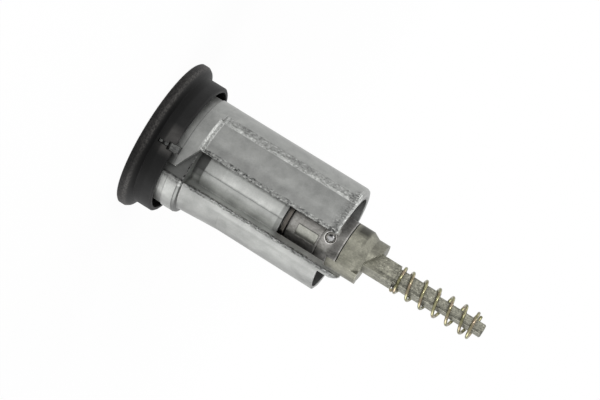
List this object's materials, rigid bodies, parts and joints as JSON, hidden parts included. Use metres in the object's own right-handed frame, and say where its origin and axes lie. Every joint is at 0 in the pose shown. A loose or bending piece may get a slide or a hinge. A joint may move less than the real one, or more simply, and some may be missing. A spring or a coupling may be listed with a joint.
{
  "type": "ignition lock cylinder",
  "caption": "Ignition lock cylinder: die-cast sleeve in a black bezel cap, turning wafer plug with key slot, square-shank driver and tail spring.",
  "frame": {"origin": "on the lock's axis, in the plane of the bezel cap's front ring, which is the lowest point", "axes": "+Z runs along the lock's axis from the key side to the tail; -Y is the side of the open guide channel; the key slot's long side lies along Y"},
  "size_m": [0.036, 0.036, 0.084],
  "materials": {
    "cap_plastic": "satin",
    "sleeve_zinc": "as cast, dull",
    "plug_zinc": "turned, oiled",
    "driver_zinc": "as cast, oiled",
    "face_steel": "satin",
    "bright_steel": "polished",
    "slider_steel": "sintered",
    "spring_steel": "drawn",
    "plated_spring": "yellow plated",
    "wafer_brass": "stamped"
  },
  "bodies": {
    "housing": {"bezel_cap": "cap_plastic", "sleeve": "sleeve_zinc"},
    "rotor": {"plug": "plug_zinc", "face_plate": "face_steel", "shutter_pin": "bright_steel", "shutter_spring": "spring_steel", "wafer_spring_1": "spring_steel", "wafer_spring_2": "spring_steel", "wafer_spring_3": "spring_steel", "wafer_spring_4": "spring_steel", "wafer_spring_5": "spring_steel", "wafer_spring_6": "spring_steel", "wafer_spring_7": "spring_steel", "wafer_spring_8": "spring_steel", "retaining_clip": "spring_steel", "slider_spring": "spring_steel", "driver": "driver_zinc", "retaining_ball": "bright_steel", "tail_spring": "plated_spring"},
    "dust_shutter": {"shutter": "face_steel"},
    "detent_slider": {"slider": "slider_steel"},
    "wafer_1_body": {"wafer_1": "wafer_brass"},
    "wafer_2_body": {"wafer_2": "wafer_brass"},
    "wafer_3_body": {"wafer_3": "wafer_brass"},
    "wafer_4_body": {"wafer_4": "wafer_brass"},
    "wafer_5_body": {"wafer_5": "wafer_brass"},
    "wafer_6_body": {"wafer_6": "wafer_brass"},
    "wafer_7_body": {"wafer_7": "wafer_brass"},
    "wafer_8_body": {"wafer_8": "wafer_brass"}
  },
  "joints": [
    {"name": "key_turn", "type": "hinge", "parent": "housing", "child": "rotor", "pos_m": [0, 0, 0], "axis": [0, 0, 1], "range_deg": [0, 120]},
    {"name": "shutter_swing", "type": "hinge", "parent": "rotor", "child": "dust_shutter", "pos_m": [-0.00215, 0, 0.00335], "axis": [0, -1, 0], "range_deg": [0, 90], "stiffness_Nm_per_rad": 0.0002, "springref_deg": -17.19, "deforming": ["shutter_spring"]},
    {"name": "slider_press", "type": "slide", "parent": "rotor", "child": "detent_slider", "axis": [0, -1, 0], "range_m": [-0.0012, 0], "stiffness_N_per_m": 300, "springref_m": 0.001, "deforming": ["slider_spring"]},
    {"name": "wafer_1_slide", "type": "slide", "parent": "rotor", "child": "wafer_1_body", "axis": [0, 1, 0], "range_m": [-0.0009, 0], "stiffness_N_per_m": 150, "springref_m": 0.0015, "deforming": ["wafer_spring_1"]},
    {"name": "wafer_2_slide", "type": "slide", "parent": "rotor", "child": "wafer_2_body", "axis": [0, 1, 0], "range_m": [-0.0009, 0], "stiffness_N_per_m": 150, "springref_m": 0.0015, "deforming": ["wafer_spring_2"]},
    {"name": "wafer_3_slide", "type": "slide", "parent": "rotor", "child": "wafer_3_body", "axis": [0, 1, 0], "range_m": [-0.0009, 0], "stiffness_N_per_m": 150, "springref_m": 0.0015, "deforming": ["wafer_spring_3"]},
    {"name": "wafer_4_slide", "type": "slide", "parent": "rotor", "child": "wafer_4_body", "axis": [0, 1, 0], "range_m": [-0.0009, 0], "stiffness_N_per_m": 150, "springref_m": 0.0015, "deforming": ["wafer_spring_4"]},
    {"name": "wafer_5_slide", "type": "slide", "parent": "rotor", "child": "wafer_5_body", "axis": [0, 1, 0], "range_m": [-0.0009, 0], "stiffness_N_per_m": 150, "springref_m": 0.0015, "deforming": ["wafer_spring_5"]},
    {"name": "wafer_6_slide", "type": "slide", "parent": "rotor", "child": "wafer_6_body", "axis": [0, 1, 0], "range_m": [-0.0009, 0], "stiffness_N_per_m": 150, "springref_m": 0.0015, "deforming": ["wafer_spring_6"]},
    {"name": "wafer_7_slide", "type": "slide", "parent": "rotor", "child": "wafer_7_body", "axis": [0, 1, 0], "range_m": [-0.0009, 0], "stiffness_N_per_m": 150, "springref_m": 0.0015, "deforming": ["wafer_spring_7"]},
    {"name": "wafer_8_slide", "type": "slide", "parent": "rotor", "child": "wafer_8_body", "axis": [0, 1, 0], "range_m": [-0.0009, 0], "stiffness_N_per_m": 150, "springref_m": 0.0015, "deforming": ["wafer_spring_8"]}
  ]
}
